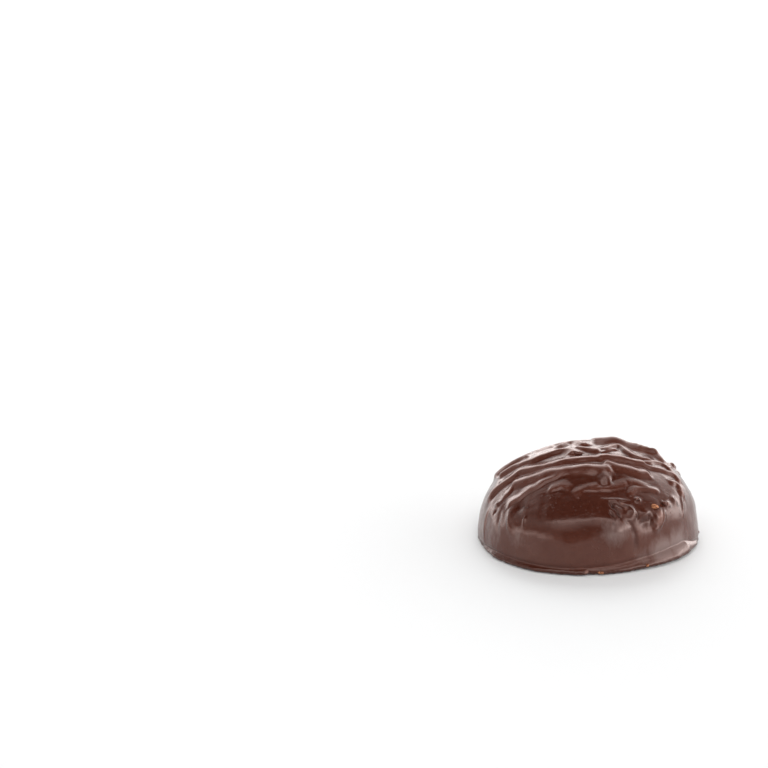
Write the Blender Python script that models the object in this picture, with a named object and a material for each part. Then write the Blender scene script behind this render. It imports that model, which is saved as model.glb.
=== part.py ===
"""A polvoron, a crumbly almond shortbread, wholly coated in dark chocolate.

One domed biscuit with a round foot. Air blown over the wet coating has left wavy ridges across its
top, the coating has run down into a lip round the foot, and crumbs stick out of it here and there.

Metres, +Z up. The origin is the centre of the flat underside, on the surface that the biscuit rests
on. +X is to the right and -Y is the front. The form is worked out in millimetres, and MM turns it
into metres.
"""

import bmesh
import bpy
import numpy as np
from mathutils import Matrix, Vector

MM = 0.001

# The body: a leaning wall and a shallow dome, blended at the shoulder.
FOOT_RADIUS = 26.4
FOOT_CORNERS = 3  # the foot is faintly three-cornered
CORNER_REACH = 0.63  # how far the corners stand out from the round, and the sides between them in
CORNER_HEADING = 4.0  # degrees from +X to one of the corners
WALL_DRAFT = 0.103  # how far the wall leans in for each millimetre of height
DOME_PEAK = (2.0, 1.7)
DOME_HEIGHT = 21.0
DOME_FALL = 0.0142  # the dome drops by this times the squared distance from its peak
FRONT_LIFT = 0.0025  # taken off that drop at the front, where the dome is fuller
SHOULDER_SHARPNESS = 10.7  # a higher power blends wall and dome over a shorter stretch
FRONT_SHARPNESS = 20.0  # added to it at the front
FOOT_ROUND = 0.9  # height of the rounded bottom edge
FOOT_TUCK = 0.55  # how far that edge turns in where it meets the floor

# The mesh: a square grid of cells, bent into a disc and draped over the body.
GRID_CELLS = 60
TOP_SHARE = 0.70  # share of the cells between the peak and the shoulder
SHOULDER = (22.9, 13.5)  # distance from the middle and height
FOOT_CROWDING = 1.7  # a higher power crowds the cells of the wall towards the foot

# Ridges of the coating: height, reach of the front slope, reach of the back slope, and the path of
# the crest from left to right in plan.
RIDGES = (
    (0.85, 2.0, 2.8, (
        (-21, 4), (-19, 3.5), (-17, 4), (-13.5, 1.5), (-11.5, 2), (-8.5, 3), (-5.5, 3.5), (-4, 2),
        (-3, -1.5))),
    (0.80, 2.0, 2.8, (
        (-24, -4), (-21, -2.5), (-17.5, -2), (-16, -1), (-13.5, -2.5), (-8.5, -4.5), (-4, -4), (-0.5, -4.5),
        (4, -3.5), (6.5, -3))),
    (0.95, 2.3, 2.8, ((2, -4), (4, -3.5), (6.5, -3), (10.5, -3.5), (13, -3), (14.5, -2.5))),
    (0.75, 3.0, 2.6, (
        (-18.5, -5), (-15, -6.5), (-11, -7.5), (-9, -7), (-4, -9), (-0.5, -9), (2, -9.5), (4.5, -9),
        (6, -9))),
    (0.65, 2.8, 2.5, ((3, -6), (5, -6.5), (6.5, -7.5), (10.5, -8), (13, -7.5), (15, -6.5))),
    (0.45, 1.0, 1.8, (
        (-19.5, -12.5), (-16.5, -12.5), (-14, -11), (-12.5, -11.5), (-10, -10), (-7, -10), (-6, -9),
        (-4, -9))),
    (0.40, 1.2, 1.8, ((-20.5, -8.5), (-19, -8.5), (-17, -6.5), (-16, -6))),
    (0.32, 1.2, 1.6, ((-10, -13.5), (-8.5, -14), (-6.5, -13.5), (-5.5, -14.5), (-4.5, -16))),
    (0.30, 1.4, 1.2, ((-4.5, -17), (-3.5, -16.5), (-2, -15.5), (3.5, -15.5), (6, -15), (9.5, -12.5))),
    (0.22, 0.7, 0.8, ((-1.5, -14.5), (0.5, -15), (3, -14))),
    (0.28, 0.8, 0.9, ((-3, -18.5), (-2.5, -17), (-1.5, -16))),
    (0.28, 1.1, 1.1, ((8.5, -13.5), (10, -12), (11.5, -12), (13, -12.5), (15, -12))),
    (0.36, 1.0, 1.1, ((9.5, -17.5), (10, -15.5), (11, -14), (12.5, -13.5), (17, -12))),
    (0.75, 1.2, 2.2, ((4, 0.5), (5.5, 3), (7, 5.5), (8, 5.5), (10, 1), (12, 0), (14, 0), (16, 1))),
    (0.40, 0.7, 1.2, ((3, -0.5), (5, 1), (6.5, 2.5), (8, 2.5))),
    (0.75, 1.9, 2.0, ((-3.5, 3.5), (-2, 3), (0, 2), (2, 1), (4, 1))),
    (0.80, 2.0, 2.4, ((-7, 7), (-5.5, 8.5), (-4, 10), (-2.5, 10), (-1, 7.5), (0, 4.5))),
    (0.55, 0.9, 1.3, ((12.5, -2), (15, -1), (17, 2), (18.5, 2), (20.5, 0))),
    (0.65, 1.2, 1.4, ((12.5, -3.5), (16, -3.5), (20, -1.5), (21, -1.5), (22, -3.5))),
    (0.60, 1.0, 1.2, ((19, -7), (20.5, -5.5), (21.5, -5), (22, -6), (22, -8.5))),
    (0.60, 3.0, 3.2, ((-13, 11), (-10, 12.5), (-6.5, 13))),
    (0.90, 2.6, 3.0, ((-22, 8.5), (-17, 9), (-12.5, 8))),
    (1.25, 4.0, 4.0, ((1, 9), (5, 10), (9, 9.5), (15.5, 7.5))),
    (1.10, 2.6, 3.0, ((11.5, 8.5), (15.5, 7.5), (20, 5))),
    (0.50, 1.8, 2.6, (
        (-19.5, 10.5), (-16, 12.5), (-13, 13), (-9, 15.5), (-5.5, 14.5), (-2, 15.5), (1.5, 14.5), (5, 16),
        (8, 15), (11.5, 15.5), (14.5, 13.5), (17.5, 13.5), (20, 11))),
    (0.60, 1.6, 2.4, (
        (-14, 16.5), (-11, 18.5), (-8, 17.5), (-4.5, 19), (-1, 18), (2.5, 19.5), (6, 18), (9, 19), (12, 17),
        (15, 16.5))),
    (0.45, 1.2, 1.8, ((-9, 21), (-6, 21.5), (-3, 20.5), (0.5, 22), (4, 21), (8, 21.5), (11, 20))),
)
VALLEY = -0.26  # the coating between two ridges lies this far under the dome
CREST_ROUND = 0.60  # radius that rounds a crest over
RIDGE_END = 1.5  # length over which a ridge rises from nothing at each end
RIDGE_FADE = (7.5, 12.0)  # ridges fade out between these heights of the shoulder
DRIFTS = ((9.0, 0.15), (3.5, 0.12))  # wavelength, and how far the ridges wander off their path

# Bumps and dents: centre, reach across, reach along, direction of the long way, height.
LUMPS = (
    ((1.5, -9.0, 19.5), 5.0, 13.0, (1, 0, 0), 0.65),  # fuller stretch before the top
    ((3.7, -12.0, 18.7), 1.4, 1.8, (0, 1, 0), 0.85),  # round drop on the dark front of the top
    ((5.5, -12.3, 18.3), 0.45, 1.8, (0, 1, 0), -0.35),  # groove at its right edge
    ((3.5, -14.5, 17.9), 0.5, 1.0, (1, 0, 0), -0.30),
    ((6.3, -18.6, 15.8), 0.5, 2.6, (1, 0, 0), 0.40),  # fold over the broken chunk
    ((7.3, -19.6, 15.2), 0.35, 1.7, (3, -1, -1), 0.45),  # rim of the chunk
    ((6.2, -21.3, 14.4), 0.9, 1.1, (1, -2, -2), 0.55),  # broken chunk at the front shoulder
    ((5.2, -20.4, 15.0), 0.3, 1.3, (1, -2, -1), -0.70),  # crack on its left
    ((6.3, -22.3, 13.7), 0.3, 1.3, (2, -3, -3), -0.70),
    ((5.1, -22.8, 13.5), 0.3, 1.4, (2, -3, -3), -0.50),  # second crack beside it
    ((6.1, -24.1, 10.4), 3.0, 3.2, (0, 0, 1), 1.25),  # thick run of coating below it
    ((8.5, -23.0, 12.0), 0.5, 1.6, (1, 0, -1), -0.45),  # hollow along that run's right edge
    ((10.0, -22.8, 9.4), 0.7, 1.9, (1, 0, -3), -0.40),
    ((10.6, -22.9, 6.6), 0.8, 1.8, (0, 0, 1), -0.25),
    ((5.0, -24.2, 11.6), 0.4, 0.5, (0, 0, 1), -0.40),
    ((9.7, -20.9, 13.8), 0.8, 1.5, (1, -2, -2), 0.60),
    ((12.8, -20.1, 12.8), 0.9, 1.4, (2, 2, 1), 0.60),
    ((11.1, -21.2, 12.7), 0.4, 0.9, (0, -1, -2), -0.35),
    ((12.8, -20.9, 11.0), 1.2, 1.4, (1, 0, 0), -0.45),
    ((11.1, -17.5, 15.3), 0.70, 0.75, (1, 0, 0), 0.65),  # burst bubble
    ((11.1, -17.6, 15.3), 0.28, 0.30, (1, 0, 0), -1.10),
    ((16.4, -18.0, 11.5), 1.2, 2.0, (0, -1, -4), 0.50),  # wedge under the pale crumb
    ((17.2, -17.4, 10.9), 0.3, 2.0, (-1, -2, -3), 0.50),
    ((15.5, -18.7, 11.6), 0.3, 1.7, (2, -1, -5), 0.40),
    ((14.3, -19.7, 11.0), 0.5, 1.5, (0, 0, 1), -0.40),
    ((15.4, -19.5, 8.9), 1.0, 1.1, (1, 0, 0), 0.55),
    ((18.4, -14.4, 13.2), 0.7, 0.9, (1, 1, 1), 0.50),
    ((20.2, -11.7, 13.2), 0.9, 1.2, (0, 0, 1), 0.40),
    ((22.3, -9.7, 11.3), 0.5, 2.6, (0, -1, -1), 0.40),  # run of coating down the right wall
    ((-16.2, -15.4, 12.8), 0.9, 1.7, (0, -1, -1), -0.35),  # dent in the left shoulder
    ((-18.5, -16.6, 9.6), 0.9, 4.0, (0, -1, -1), 0.45),  # runs of coating below it
    ((-15.3, -19.3, 11.0), 0.4, 1.6, (0, -1, -2), 0.25),
    ((-21.0, -13.3, 8.8), 0.7, 3.5, (0, -1, -2), -0.25),
    ((-23.8, -7.1, 6.5), 0.7, 4.0, (0, -1, -3), 0.35),
    ((-21.7, -10.1, 9.8), 0.5, 0.9, (0, 0, 1), -0.30),
    ((-21.2, -8.8, 11.1), 0.7, 0.8, (1, 0, 0), 0.50),
    ((-20.6, -0.2, 13.2), 0.5, 0.9, (0, 1, 0), -0.50),
    ((-2.2, -26.4, 0.9), 0.9, 1.3, (1, 0, 0), 0.45),  # drip at the front of the foot
    ((-0.4, -26.4, 0.3), 0.5, 0.6, (0, 0, 1), -0.60),
    ((7.2, 9.4, 20.8), 2.2, 2.4, (1, 0, 0), 0.75),  # highest stretch of the top
    ((10.2, 9.0, 20.4), 0.8, 1.6, (0, 1, 0), -0.95),
    ((14.0, 9.5, 19.4), 0.7, 3.2, (0, 1, 0), -1.40),
    ((18.9, 7.8, 16.4), 0.9, 2.4, (0, 1, 0), -1.40),
    ((21.0, 9.5, 8.0), 1.6, 4.0, (0, 0, 1), 0.50),
    ((10.0, 21.5, 10.0), 2.2, 3.0, (1, 0, 0), 0.50),
    ((-8.0, 22.0, 7.5), 0.9, 5.0, (0, 0, 1), 0.40),
    ((-19.5, 12.5, 8.0), 1.0, 5.0, (0, 0, 1), 0.35),
    ((-1.5, 22.6, 9.5), 0.9, 2.5, (0, 0, 1), -0.40),
)

# Crumbs that the coating covers, flatter on top than the bumps: the same five values.
CRAGS = (
    ((12.4, 8.7, 20.0), 1.0, 1.2, (1, 0, 0), 0.85),
    ((16.4, 7.7, 18.5), 1.2, 1.7, (1, 0, -0.3), 1.10),
    ((17.9, 7.4, 17.6), 0.6, 0.8, (0, 1, 0), 0.50),
    ((20.8, 8.0, 14.4), 1.1, 1.3, (0, 1, 0), 0.80),
    ((22.2, 6.8, 13.0), 0.7, 1.1, (0, 0, 1), 0.35),
    ((24.6, 3.2, 9.4), 0.7, 0.9, (0, 0, 1), 0.15),
    ((16.8, -14.6, 13.4), 0.7, 0.8, (1, 0, 0), 0.55),
    ((-4.8, -1.4, 21.3), 0.9, 1.2, (1, 0, 0), 0.35),
    ((6.0, 19.5, 14.5), 1.0, 1.4, (1, 0, 0), 0.80),
    ((-4.5, 20.5, 13.0), 0.9, 1.2, (0, 1, 0), 0.70),
    ((13.5, 17.0, 13.0), 1.1, 1.2, (1, 0, 0), 0.80),
    ((-12.0, 18.5, 12.0), 0.9, 1.3, (1, 0, 0), 0.60),
    ((18.5, 14.5, 9.5), 0.8, 1.0, (0, 0, 1), 0.60),
)

# The lip round the foot: azimuth from +X in degrees, height of the crease above it, how far it bulges.
LIP = (
    (10, 0.8, 0.00),
    (60, 2.2, 0.45),
    (100, 1.4, 0.30),
    (140, 2.4, 0.45),
    (175, 0.8, 0.00),
    (198, 0.9, 0.10),
    (215, 1.5, 0.65),
    (240, 1.5, 0.80),
    (265, 1.7, 0.60),
    (285, 2.1, 0.70),
    (300, 2.8, 0.95),
    (318, 3.4, 1.30),
    (331, 3.4, 1.10),
    (341, 1.8, 0.45),
    (352, 0.8, 0.00),
)
LIP_SKEW = 0.6  # below 1 the lip bulges most near the floor
CREASE_DEPTH = 0.22
CREASE_REACH = 0.45

# Unevenness of the whole coating: wavelength and height of each octave.
UNEVEN = ((9.0, 0.08), (4.5, 0.03), (2.4, 0.012))

# Crumbs that stick out of the coating: azimuth and elevation in degrees, seen from the middle of the
# foot, radius, how far the centre stands out of the coating, and the stretch along X, Y, Z.
CRUMBS = (
    (-49.0, 30.5, 0.80, 0.15, (1.05, 0.8, 0.70)),
    (-41, 30.5, 0.65, 0.20, (1.00, 0.9, 0.90)),
    (-164, 84.5, 0.60, 0.10, (1.30, 0.9, 0.70)),
    (-85, 1.6, 0.45, 0.10, (1.50, 0.8, 0.60)),
    (-60, 2.6, 0.40, 0.10, (1.20, 0.9, 0.80)),
    (-5, 3.6, 0.36, -0.16, (0.80, 1.2, 0.90)),
)
CRUMB_ROUGHNESS = 0.16
SEED = 20

CHOCOLATE = (0.110, 0.036, 0.020, 1.0)


def smoothstep(low, high, value):
    t = np.clip((value - low) / (high - low), 0, 1)
    return t * t * (3 - 2 * t)


def disc_grid(cells):
    """A square grid bent into a disc: each point's distance from the middle, 0 to 1, and azimuth."""
    a, b = np.meshgrid(np.linspace(-1, 1, cells + 1), np.linspace(-1, 1, cells + 1), indexing="ij")
    wide = np.abs(a) >= np.abs(b)
    reach = np.where(wide, a, b)
    safe = np.where(reach == 0, 1, reach)
    turn = np.where(wide, np.pi / 4 * b / safe, np.pi / 2 - np.pi / 4 * a / safe)
    return np.abs(reach), np.where(reach < 0, turn + np.pi, turn)


def elevation_of(reach):
    """The angle above the floor, seen from the middle of the foot, of a grid point at this reach."""
    across, height = SHOULDER
    top = np.clip(reach / TOP_SHARE, 0, 1)
    wall = np.clip((1 - reach) / (1 - TOP_SHARE), 0, 1) ** FOOT_CROWDING
    upper = np.arctan2(DOME_HEIGHT - (DOME_HEIGHT - height) * top**2, across * top)
    lower = np.arctan2(height * wall, FOOT_RADIUS + (across - FOOT_RADIUS) * wall)
    return np.where(reach <= TOP_SHARE, upper, lower)


def body(azimuth, elevation):
    """The bare biscuit: how far its wall and its dome lie along each direction, blended by a power."""
    up, out = np.sin(elevation), np.cos(elevation)
    corners = np.cos(FOOT_CORNERS * (azimuth - np.radians(CORNER_HEADING)))
    foot = FOOT_RADIUS + CORNER_REACH * corners
    wall = foot / (out + WALL_DRAFT * up)
    peak_x, peak_y = DOME_PEAK
    towards = peak_x * np.cos(azimuth) + peak_y * np.sin(azimuth)
    front = np.maximum(-np.sin(azimuth), 0) ** 2
    fall = DOME_FALL - FRONT_LIFT * front
    rise = up - 2 * fall * out * towards
    top = DOME_HEIGHT - DOME_FALL * (peak_x**2 + peak_y**2)
    dome = 2 * top / (rise + np.sqrt(rise**2 + 4 * fall * out**2 * top))
    power = SHOULDER_SHARPNESS + FRONT_SHARPNESS * front
    distance = (wall**-power + dome**-power) ** (-1 / power)
    flat = distance * out
    return np.stack([flat * np.cos(azimuth), flat * np.sin(azimuth), distance * up], axis=-1)


def outward(azimuth, elevation):
    """Unit normals of the bare biscuit, from two small steps to each side."""
    step = 1e-3
    round_it = body(azimuth + step, elevation) - body(azimuth - step, elevation)
    # At the very peak a step round the axis goes nowhere, so a level one stands in for it.
    level = np.stack([-np.sin(azimuth), np.cos(azimuth), 0 * azimuth], axis=-1)
    still = np.linalg.norm(round_it, axis=-1, keepdims=True) < 1e-6
    round_it = np.where(still, level, round_it)
    up_it = body(azimuth, elevation + step) - body(azimuth, elevation - step)
    normal = np.cross(round_it, up_it)
    return normal / np.linalg.norm(normal, axis=-1, keepdims=True)


def waves(points, wavelength, seed):
    """A smooth random field between about -1 and 1: a few plane waves in seeded directions."""
    rng = np.random.default_rng(seed)
    total = 0
    count = 7
    for _ in range(count):
        direction = rng.normal(size=3)
        direction /= np.linalg.norm(direction)
        stretch = rng.uniform(0.75, 1.35)
        phase = rng.uniform(0, 2 * np.pi)
        total = total + np.sin(points @ direction * 2 * np.pi / (wavelength * stretch) + phase)
    return total / np.sqrt(count)


def smooth_path(path):
    """A path with its corners cut twice."""
    path = np.array(path, float)
    for _ in range(2):
        before, after = path[:-1], path[1:]
        cut = np.stack([0.75 * before + 0.25 * after, 0.25 * before + 0.75 * after], axis=1)
        path = np.concatenate([path[:1], cut.reshape(-1, 2), path[-1:]])
    return path


def place_by_path(x, y, path):
    """How far behind a path points lie, negative in front of it, how far along it, and its length."""
    gap = np.full(x.shape, np.inf)
    side = np.zeros(x.shape)
    along = np.zeros(x.shape)
    gone = 0
    for start, step in zip(path, np.diff(path, axis=0)):
        length = np.hypot(*step)
        from_x, from_y = x - start[0], y - start[1]
        share = np.clip((from_x * step[0] + from_y * step[1]) / length**2, 0, 1)
        off_x, off_y = from_x - share * step[0], from_y - share * step[1]
        distance = np.hypot(off_x, off_y)
        nearer = distance < gap
        gap = np.where(nearer, distance, gap)
        side = np.where(nearer, step[0] * off_y - step[1] * off_x, side)
        along = np.where(nearer, gone + share * length, along)
        gone += length
    return np.copysign(gap, side), along, gone


def ridge_height(points):
    """The ridges over the top: each climbs evenly from the back to a crest, and drops in
    a short steep front. Where two meet they are joined smoothly.
    """
    x, y = points[..., 0], points[..., 1]
    for octave, (wavelength, sway) in enumerate(DRIFTS):
        x = x + sway * waves(points, wavelength, SEED + 1 + 2 * octave)
        y = y + sway * waves(points, wavelength, SEED + 2 + 2 * octave)
    joined = 0
    for height, front, back, path in RIDGES:
        behind, along, length = place_by_path(x, y, smooth_path(path))
        beyond = np.hypot(behind, CREST_ROUND) - CREST_ROUND
        climb = np.clip(1 - beyond / back, 0, 1) ** 1.2
        drop = np.cos(np.pi / 2 * np.clip(behind / front, -1, 0)) ** 2
        slope = np.where(behind < 0, drop, climb)
        end = min(RIDGE_END, 0.4 * length)
        ends = smoothstep(0, end, along) * smoothstep(0, end, length - along)
        joined = joined + (height * slope * ends) ** 3
    low, high = RIDGE_FADE
    return (joined ** (1 / 3) + VALLEY) * smoothstep(low, high, points[..., 2])


def lump_height(points):
    """Bumps fall off as a bell with the distance from a short line through their centre, and crags
    as the bell of that distance squared.
    """
    total = 0
    for table, power in ((LUMPS, 1), (CRAGS, 2)):
        for centre, across, along, direction, height in table:
            offset = points - np.array(centre)
            axis = np.array(direction) / np.linalg.norm(direction)
            run = offset @ axis
            side = np.maximum((offset**2).sum(axis=-1) - run**2, 0)
            total = total + height * np.exp(-((side / across**2 + (run / along) ** 2) ** power))
    return total


def lip_height(points, azimuth):
    stations, creases, bulges = np.array(LIP).T
    degrees = np.degrees(azimuth) % 360
    crease = np.interp(degrees, stations, creases, period=360)
    bulge = np.interp(degrees, stations, bulges, period=360)
    height = points[..., 2]
    inside = np.clip(height / crease, 0, 1)
    lip = bulge * np.sin(np.pi * inside**LIP_SKEW) ** 0.8
    groove = CREASE_DEPTH * np.exp(-(((height - crease) / CREASE_REACH) ** 2))
    tuck = FOOT_TUCK * (1 - np.clip(height / FOOT_ROUND, 0, 1)) ** 2
    return lip - groove - tuck


def coated_surface(azimuth, elevation):
    """The biscuit with its coating: the bare body moved in or out along its normals."""
    points = body(azimuth, elevation)
    relief = ridge_height(points) + lump_height(points) + lip_height(points, azimuth)
    for octave, (wavelength, height) in enumerate(UNEVEN):
        relief = relief + height * waves(points, wavelength, SEED + 10 + octave)
    moved = points + relief[..., None] * outward(azimuth, elevation)
    # The underside stays flat: the bottom edge moves only sideways.
    moved[..., 2] = np.where(points[..., 2] < 1e-6, 0, np.maximum(moved[..., 2], 0.02))
    return moved


def grid_faces(cells):
    """Quads of the square grid, and its border as one loop for the underside."""
    index = np.arange((cells + 1) ** 2).reshape(cells + 1, cells + 1)
    corners = (index[:-1, :-1], index[1:, :-1], index[1:, 1:], index[:-1, 1:])
    quads = np.stack([corner.ravel() for corner in corners], axis=-1)
    border = np.concatenate([index[0, :-1], index[:-1, -1], index[-1, :0:-1], index[:0:-1, 0]])
    return quads, border


def make_body(name, material):
    reach, azimuth = disc_grid(GRID_CELLS)
    points = coated_surface(azimuth, elevation_of(reach)).reshape(-1, 3)
    quads, border = grid_faces(GRID_CELLS)
    mesh = bpy.data.meshes.new(name)
    mesh.from_pydata((points * MM).tolist(), [], quads.tolist() + [border.tolist()])
    mesh.materials.append(material)
    piece = bpy.data.objects.new(name, mesh)
    bpy.context.scene.collection.objects.link(piece)
    return piece


def crumb_centre(azimuth, elevation, proud):
    """The point this far out of the coating, in this direction from the middle of the foot."""
    azimuth = np.radians([azimuth])
    elevation = np.radians([elevation])
    return (coated_surface(azimuth, elevation) + proud * outward(azimuth, elevation))[0]


def make_crumb(centre, radius, stretch, rng, holder):
    """One uneven crumb: a ball of 80 triangles, stretched, turned and roughened."""
    shape = bmesh.new()
    bmesh.ops.create_icosphere(shape, subdivisions=2, radius=radius * MM)
    for corner in shape.verts:
        corner.co *= 1 + CRUMB_ROUGHNESS * rng.uniform(-1, 1)
    turn = Matrix.Rotation(rng.uniform(0, 2 * np.pi), 4, "Z")
    bmesh.ops.transform(shape, matrix=turn, verts=shape.verts)
    bmesh.ops.scale(shape, vec=Vector(stretch), verts=shape.verts)
    bmesh.ops.translate(shape, vec=Vector(centre) * MM, verts=shape.verts)
    mesh = bpy.data.meshes.new("crumb")
    shape.to_mesh(mesh)
    shape.free()
    holder.objects.link(bpy.data.objects.new("crumb", mesh))


def join_crumbs(piece):
    """Fuses the crumbs to the biscuit with one union, then removes them."""
    rng = np.random.default_rng(SEED)
    holder = bpy.data.collections.new("crumbs")
    bpy.context.scene.collection.children.link(holder)
    for azimuth, elevation, radius, proud, stretch in CRUMBS:
        make_crumb(crumb_centre(azimuth, elevation, proud), radius, stretch, rng, holder)
    union = piece.modifiers.new("crumbs", "BOOLEAN")
    union.operation = "UNION"
    union.operand_type = "COLLECTION"
    union.collection = holder
    union.solver = "EXACT"
    with bpy.context.temp_override(object=piece, active_object=piece):
        bpy.ops.object.modifier_apply(modifier=union.name)
    for crumb in list(holder.objects):
        bpy.data.objects.remove(crumb)
    bpy.data.collections.remove(holder)


def chocolate():
    material = bpy.data.materials.new("dark_chocolate")
    material.use_nodes = True
    shader = material.node_tree.nodes["Principled BSDF"]
    shader.inputs["Base Color"].default_value = CHOCOLATE
    shader.inputs["Roughness"].default_value = 0.36
    shader.inputs["Metallic"].default_value = 0.0
    return material


def main():
    for obj in list(bpy.data.objects):
        bpy.data.objects.remove(obj)
    biscuit = make_body("coated_polvoron", chocolate())
    join_crumbs(biscuit)
    biscuit.data.shade_smooth()


main()
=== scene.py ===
"""The looks of a polvoron coated in dark chocolate.

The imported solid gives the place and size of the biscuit. Here its coating gets its fine surface: wavy
ridges that air has blown across the top, runs and dents on the wall, a lip round the foot and crumbs
that stand out of it, in satin dark chocolate.

Metres, +Z up. The origin is the centre of the flat underside. +X is to the right, -Y is the front.
The form is worked out in millimetres, and MM turns it into metres.
"""

import math

import bpy
import numpy as np
from mathutils import Matrix, Vector

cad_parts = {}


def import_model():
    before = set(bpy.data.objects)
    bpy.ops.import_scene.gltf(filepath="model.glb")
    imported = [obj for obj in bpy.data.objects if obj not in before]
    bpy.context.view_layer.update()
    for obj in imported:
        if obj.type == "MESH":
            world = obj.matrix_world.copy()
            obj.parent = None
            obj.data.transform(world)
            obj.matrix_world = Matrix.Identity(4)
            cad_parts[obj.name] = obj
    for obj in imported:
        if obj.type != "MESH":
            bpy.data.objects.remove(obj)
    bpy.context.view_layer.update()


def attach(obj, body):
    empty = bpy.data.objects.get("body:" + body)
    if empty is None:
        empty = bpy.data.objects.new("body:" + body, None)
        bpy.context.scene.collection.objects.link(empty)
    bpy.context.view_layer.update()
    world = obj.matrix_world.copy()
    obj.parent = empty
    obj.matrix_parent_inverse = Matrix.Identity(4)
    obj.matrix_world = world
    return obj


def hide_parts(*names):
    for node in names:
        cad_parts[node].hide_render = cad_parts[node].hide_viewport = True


MM = 0.001
SEED = 20

# ---------------------------------------------------------------- the body

FOOT_RADIUS = 26.4
FOOT_CORNERS = 3  # the foot is faintly three-cornered
CORNER_REACH = 0.63  # how far the corners stand out from the round, and the sides between them in
CORNER_HEADING = 4.0  # degrees from +X to one of the corners
WALL_DRAFT = 0.103  # how far the wall leans in for each millimetre of height
DOME_PEAK = (2.0, 1.7)
DOME_HEIGHT = 21.0
DOME_FALL = 0.0142  # the dome drops by this times the squared distance from its peak
FRONT_LIFT = 0.0025  # taken off that drop at the front, where the dome is fuller
SHOULDER_SHARPNESS = 10.7  # a higher power blends wall and dome over a shorter stretch
FRONT_SHARPNESS = 20.0  # added to it at the front
FOOT_ROUND = 0.9  # height of the rounded bottom edge
FOOT_TUCK = 0.55  # how far that edge turns in where it meets the floor

SURFACE_CELLS = 312
TOP_SHARE = 0.70  # share of the cells between the peak and the shoulder
SHOULDER = (22.9, 13.5)  # distance from the middle and height
FOOT_CROWDING = 1.5  # a higher power crowds the cells of the wall towards the foot

# Ridges of the coating: height, reach of the front slope, reach of the back slope, and the path of
# the crest from left to right in plan.
RIDGES = (
    (0.85, 2.0, 2.8, (
        (-21, 4), (-19, 3.5), (-17, 4), (-13.5, 1.5), (-11.5, 2), (-8.5, 3), (-5.5, 3.5), (-4, 2),
        (-3, -1.5))),
    (0.80, 2.0, 2.8, (
        (-24, -4), (-21, -2.5), (-17.5, -2), (-16, -1), (-13.5, -2.5), (-8.5, -4.5), (-4, -4), (-0.5, -4.5),
        (4, -3.5), (6.5, -3))),
    (0.95, 2.3, 2.8, ((2, -4), (4, -3.5), (6.5, -3), (10.5, -3.5), (13, -3), (14.5, -2.5))),
    (0.75, 3.0, 2.6, (
        (-18.5, -5), (-15, -6.5), (-11, -7.5), (-9, -7), (-4, -9), (-0.5, -9), (2, -9.5), (4.5, -9),
        (6, -9))),
    (0.65, 2.8, 2.5, ((3, -6), (5, -6.5), (6.5, -7.5), (10.5, -8), (13, -7.5), (15, -6.5))),
    (0.45, 1.0, 1.8, (
        (-19.5, -12.5), (-16.5, -12.5), (-14, -11), (-12.5, -11.5), (-10, -10), (-7, -10), (-6, -9),
        (-4, -9))),
    (0.40, 1.2, 1.8, ((-20.5, -8.5), (-19, -8.5), (-17, -6.5), (-16, -6))),
    (0.32, 1.2, 1.6, ((-10, -13.5), (-8.5, -14), (-6.5, -13.5), (-5.5, -14.5), (-4.5, -16))),
    (0.30, 1.4, 1.2, ((-4.5, -17), (-3.5, -16.5), (-2, -15.5), (3.5, -15.5), (6, -15), (9.5, -12.5))),
    (0.22, 0.7, 0.8, ((-1.5, -14.5), (0.5, -15), (3, -14))),
    (0.28, 0.8, 0.9, ((-3, -18.5), (-2.5, -17), (-1.5, -16))),
    (0.28, 1.1, 1.1, ((8.5, -13.5), (10, -12), (11.5, -12), (13, -12.5), (15, -12))),
    (0.36, 1.0, 1.1, ((9.5, -17.5), (10, -15.5), (11, -14), (12.5, -13.5), (17, -12))),
    (0.75, 1.2, 2.2, ((4, 0.5), (5.5, 3), (7, 5.5), (8, 5.5), (10, 1), (12, 0), (14, 0), (16, 1))),
    (0.40, 0.7, 1.2, ((3, -0.5), (5, 1), (6.5, 2.5), (8, 2.5))),
    (0.75, 1.9, 2.0, ((-3.5, 3.5), (-2, 3), (0, 2), (2, 1), (4, 1))),
    (0.80, 2.0, 2.4, ((-7, 7), (-5.5, 8.5), (-4, 10), (-2.5, 10), (-1, 7.5), (0, 4.5))),
    (0.55, 0.9, 1.3, ((12.5, -2), (15, -1), (17, 2), (18.5, 2), (20.5, 0))),
    (0.65, 1.2, 1.4, ((12.5, -3.5), (16, -3.5), (20, -1.5), (21, -1.5), (22, -3.5))),
    (0.60, 1.0, 1.2, ((19, -7), (20.5, -5.5), (21.5, -5), (22, -6), (22, -8.5))),
    (0.60, 3.0, 3.2, ((-13, 11), (-10, 12.5), (-6.5, 13))),
    (0.90, 2.6, 3.0, ((-22, 8.5), (-17, 9), (-12.5, 8))),
    (1.25, 4.0, 4.0, ((1, 9), (5, 10), (9, 9.5), (15.5, 7.5))),
    (1.10, 2.6, 3.0, ((11.5, 8.5), (15.5, 7.5), (20, 5))),
    (0.50, 1.8, 2.6, (
        (-19.5, 10.5), (-16, 12.5), (-13, 13), (-9, 15.5), (-5.5, 14.5), (-2, 15.5), (1.5, 14.5), (5, 16),
        (8, 15), (11.5, 15.5), (14.5, 13.5), (17.5, 13.5), (20, 11))),
    (0.60, 1.6, 2.4, (
        (-14, 16.5), (-11, 18.5), (-8, 17.5), (-4.5, 19), (-1, 18), (2.5, 19.5), (6, 18), (9, 19), (12, 17),
        (15, 16.5))),
    (0.45, 1.2, 1.8, ((-9, 21), (-6, 21.5), (-3, 20.5), (0.5, 22), (4, 21), (8, 21.5), (11, 20))),
)
VALLEY = -0.26  # the coating between two ridges lies this far under the dome
CREST_ROUND = 0.60  # radius that rounds a crest over
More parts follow.
